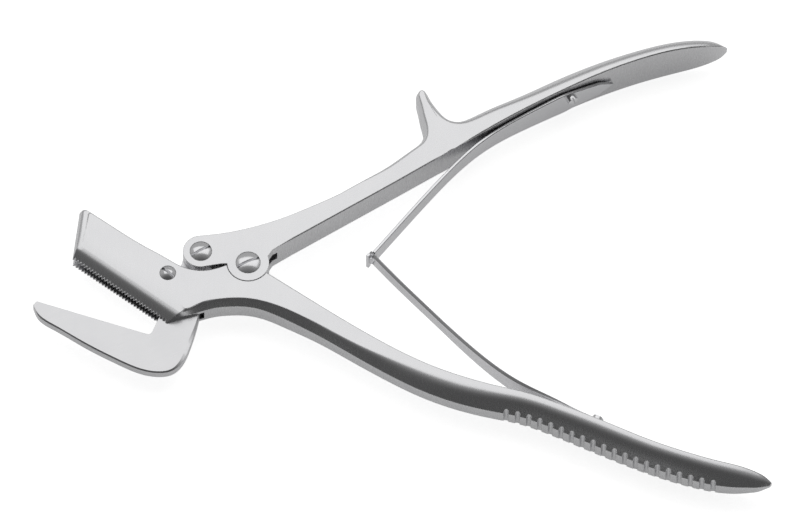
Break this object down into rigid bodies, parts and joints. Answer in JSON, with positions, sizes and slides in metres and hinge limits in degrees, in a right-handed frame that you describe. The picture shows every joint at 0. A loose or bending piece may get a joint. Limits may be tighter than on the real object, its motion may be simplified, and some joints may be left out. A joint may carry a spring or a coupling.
{
  "type": "plaster cast shears",
  "caption": "Cutting shears for plaster casts: a slotted, toothed upper jaw and a hooked lower jaw, moved by two long spring-opened handles through a compound linkage.",
  "frame": {"origin": "middle of the bounding box's lowest plane, with the shears lying flat and open", "axes": "+X from the jaws to the grips, +Y to the thumb spur's side, +Z out of the flat side that carries the screw heads"},
  "size_m": [0.3438, 0.2412, 0.0226],
  "materials": {
    "satin_steel": "satin ground",
    "spring_steel": "satin",
    "polished_steel": "polished"
  },
  "bodies": {
    "main_body": {"main_body": "satin_steel", "guide_screw": "polished_steel", "lower_spring": "spring_steel", "lower_spring_screw": "polished_steel"},
    "drive_handle": {"drive_handle": "satin_steel", "pivot_screw": "polished_steel", "link_screw": "polished_steel", "upper_spring": "spring_steel", "upper_spring_screw": "polished_steel"},
    "lower_jaw": {"lower_jaw": "satin_steel"}
  },
  "joints": [
    {"name": "handles", "type": "hinge", "parent": "main_body", "child": "drive_handle", "pos_m": [-0.07165, -0.0026, 0.0113], "axis": [0, 0, -1], "range_deg": [0, 38], "stiffness_Nm_per_rad": 0.9, "springref_deg": -20.05, "deforming": ["upper_spring", "lower_spring"]},
    {"name": "lower_jaw_link", "type": "hinge", "parent": "drive_handle", "child": "lower_jaw", "pos_m": [-0.09375, 0.0035, 0.0113], "axis": [0, 0, 1], "range_deg": [0, 19]}
  ],
  "couplings": [
    {"joint": "lower_jaw_link", "follows": "handles", "ratio": 0.5}
  ]
}
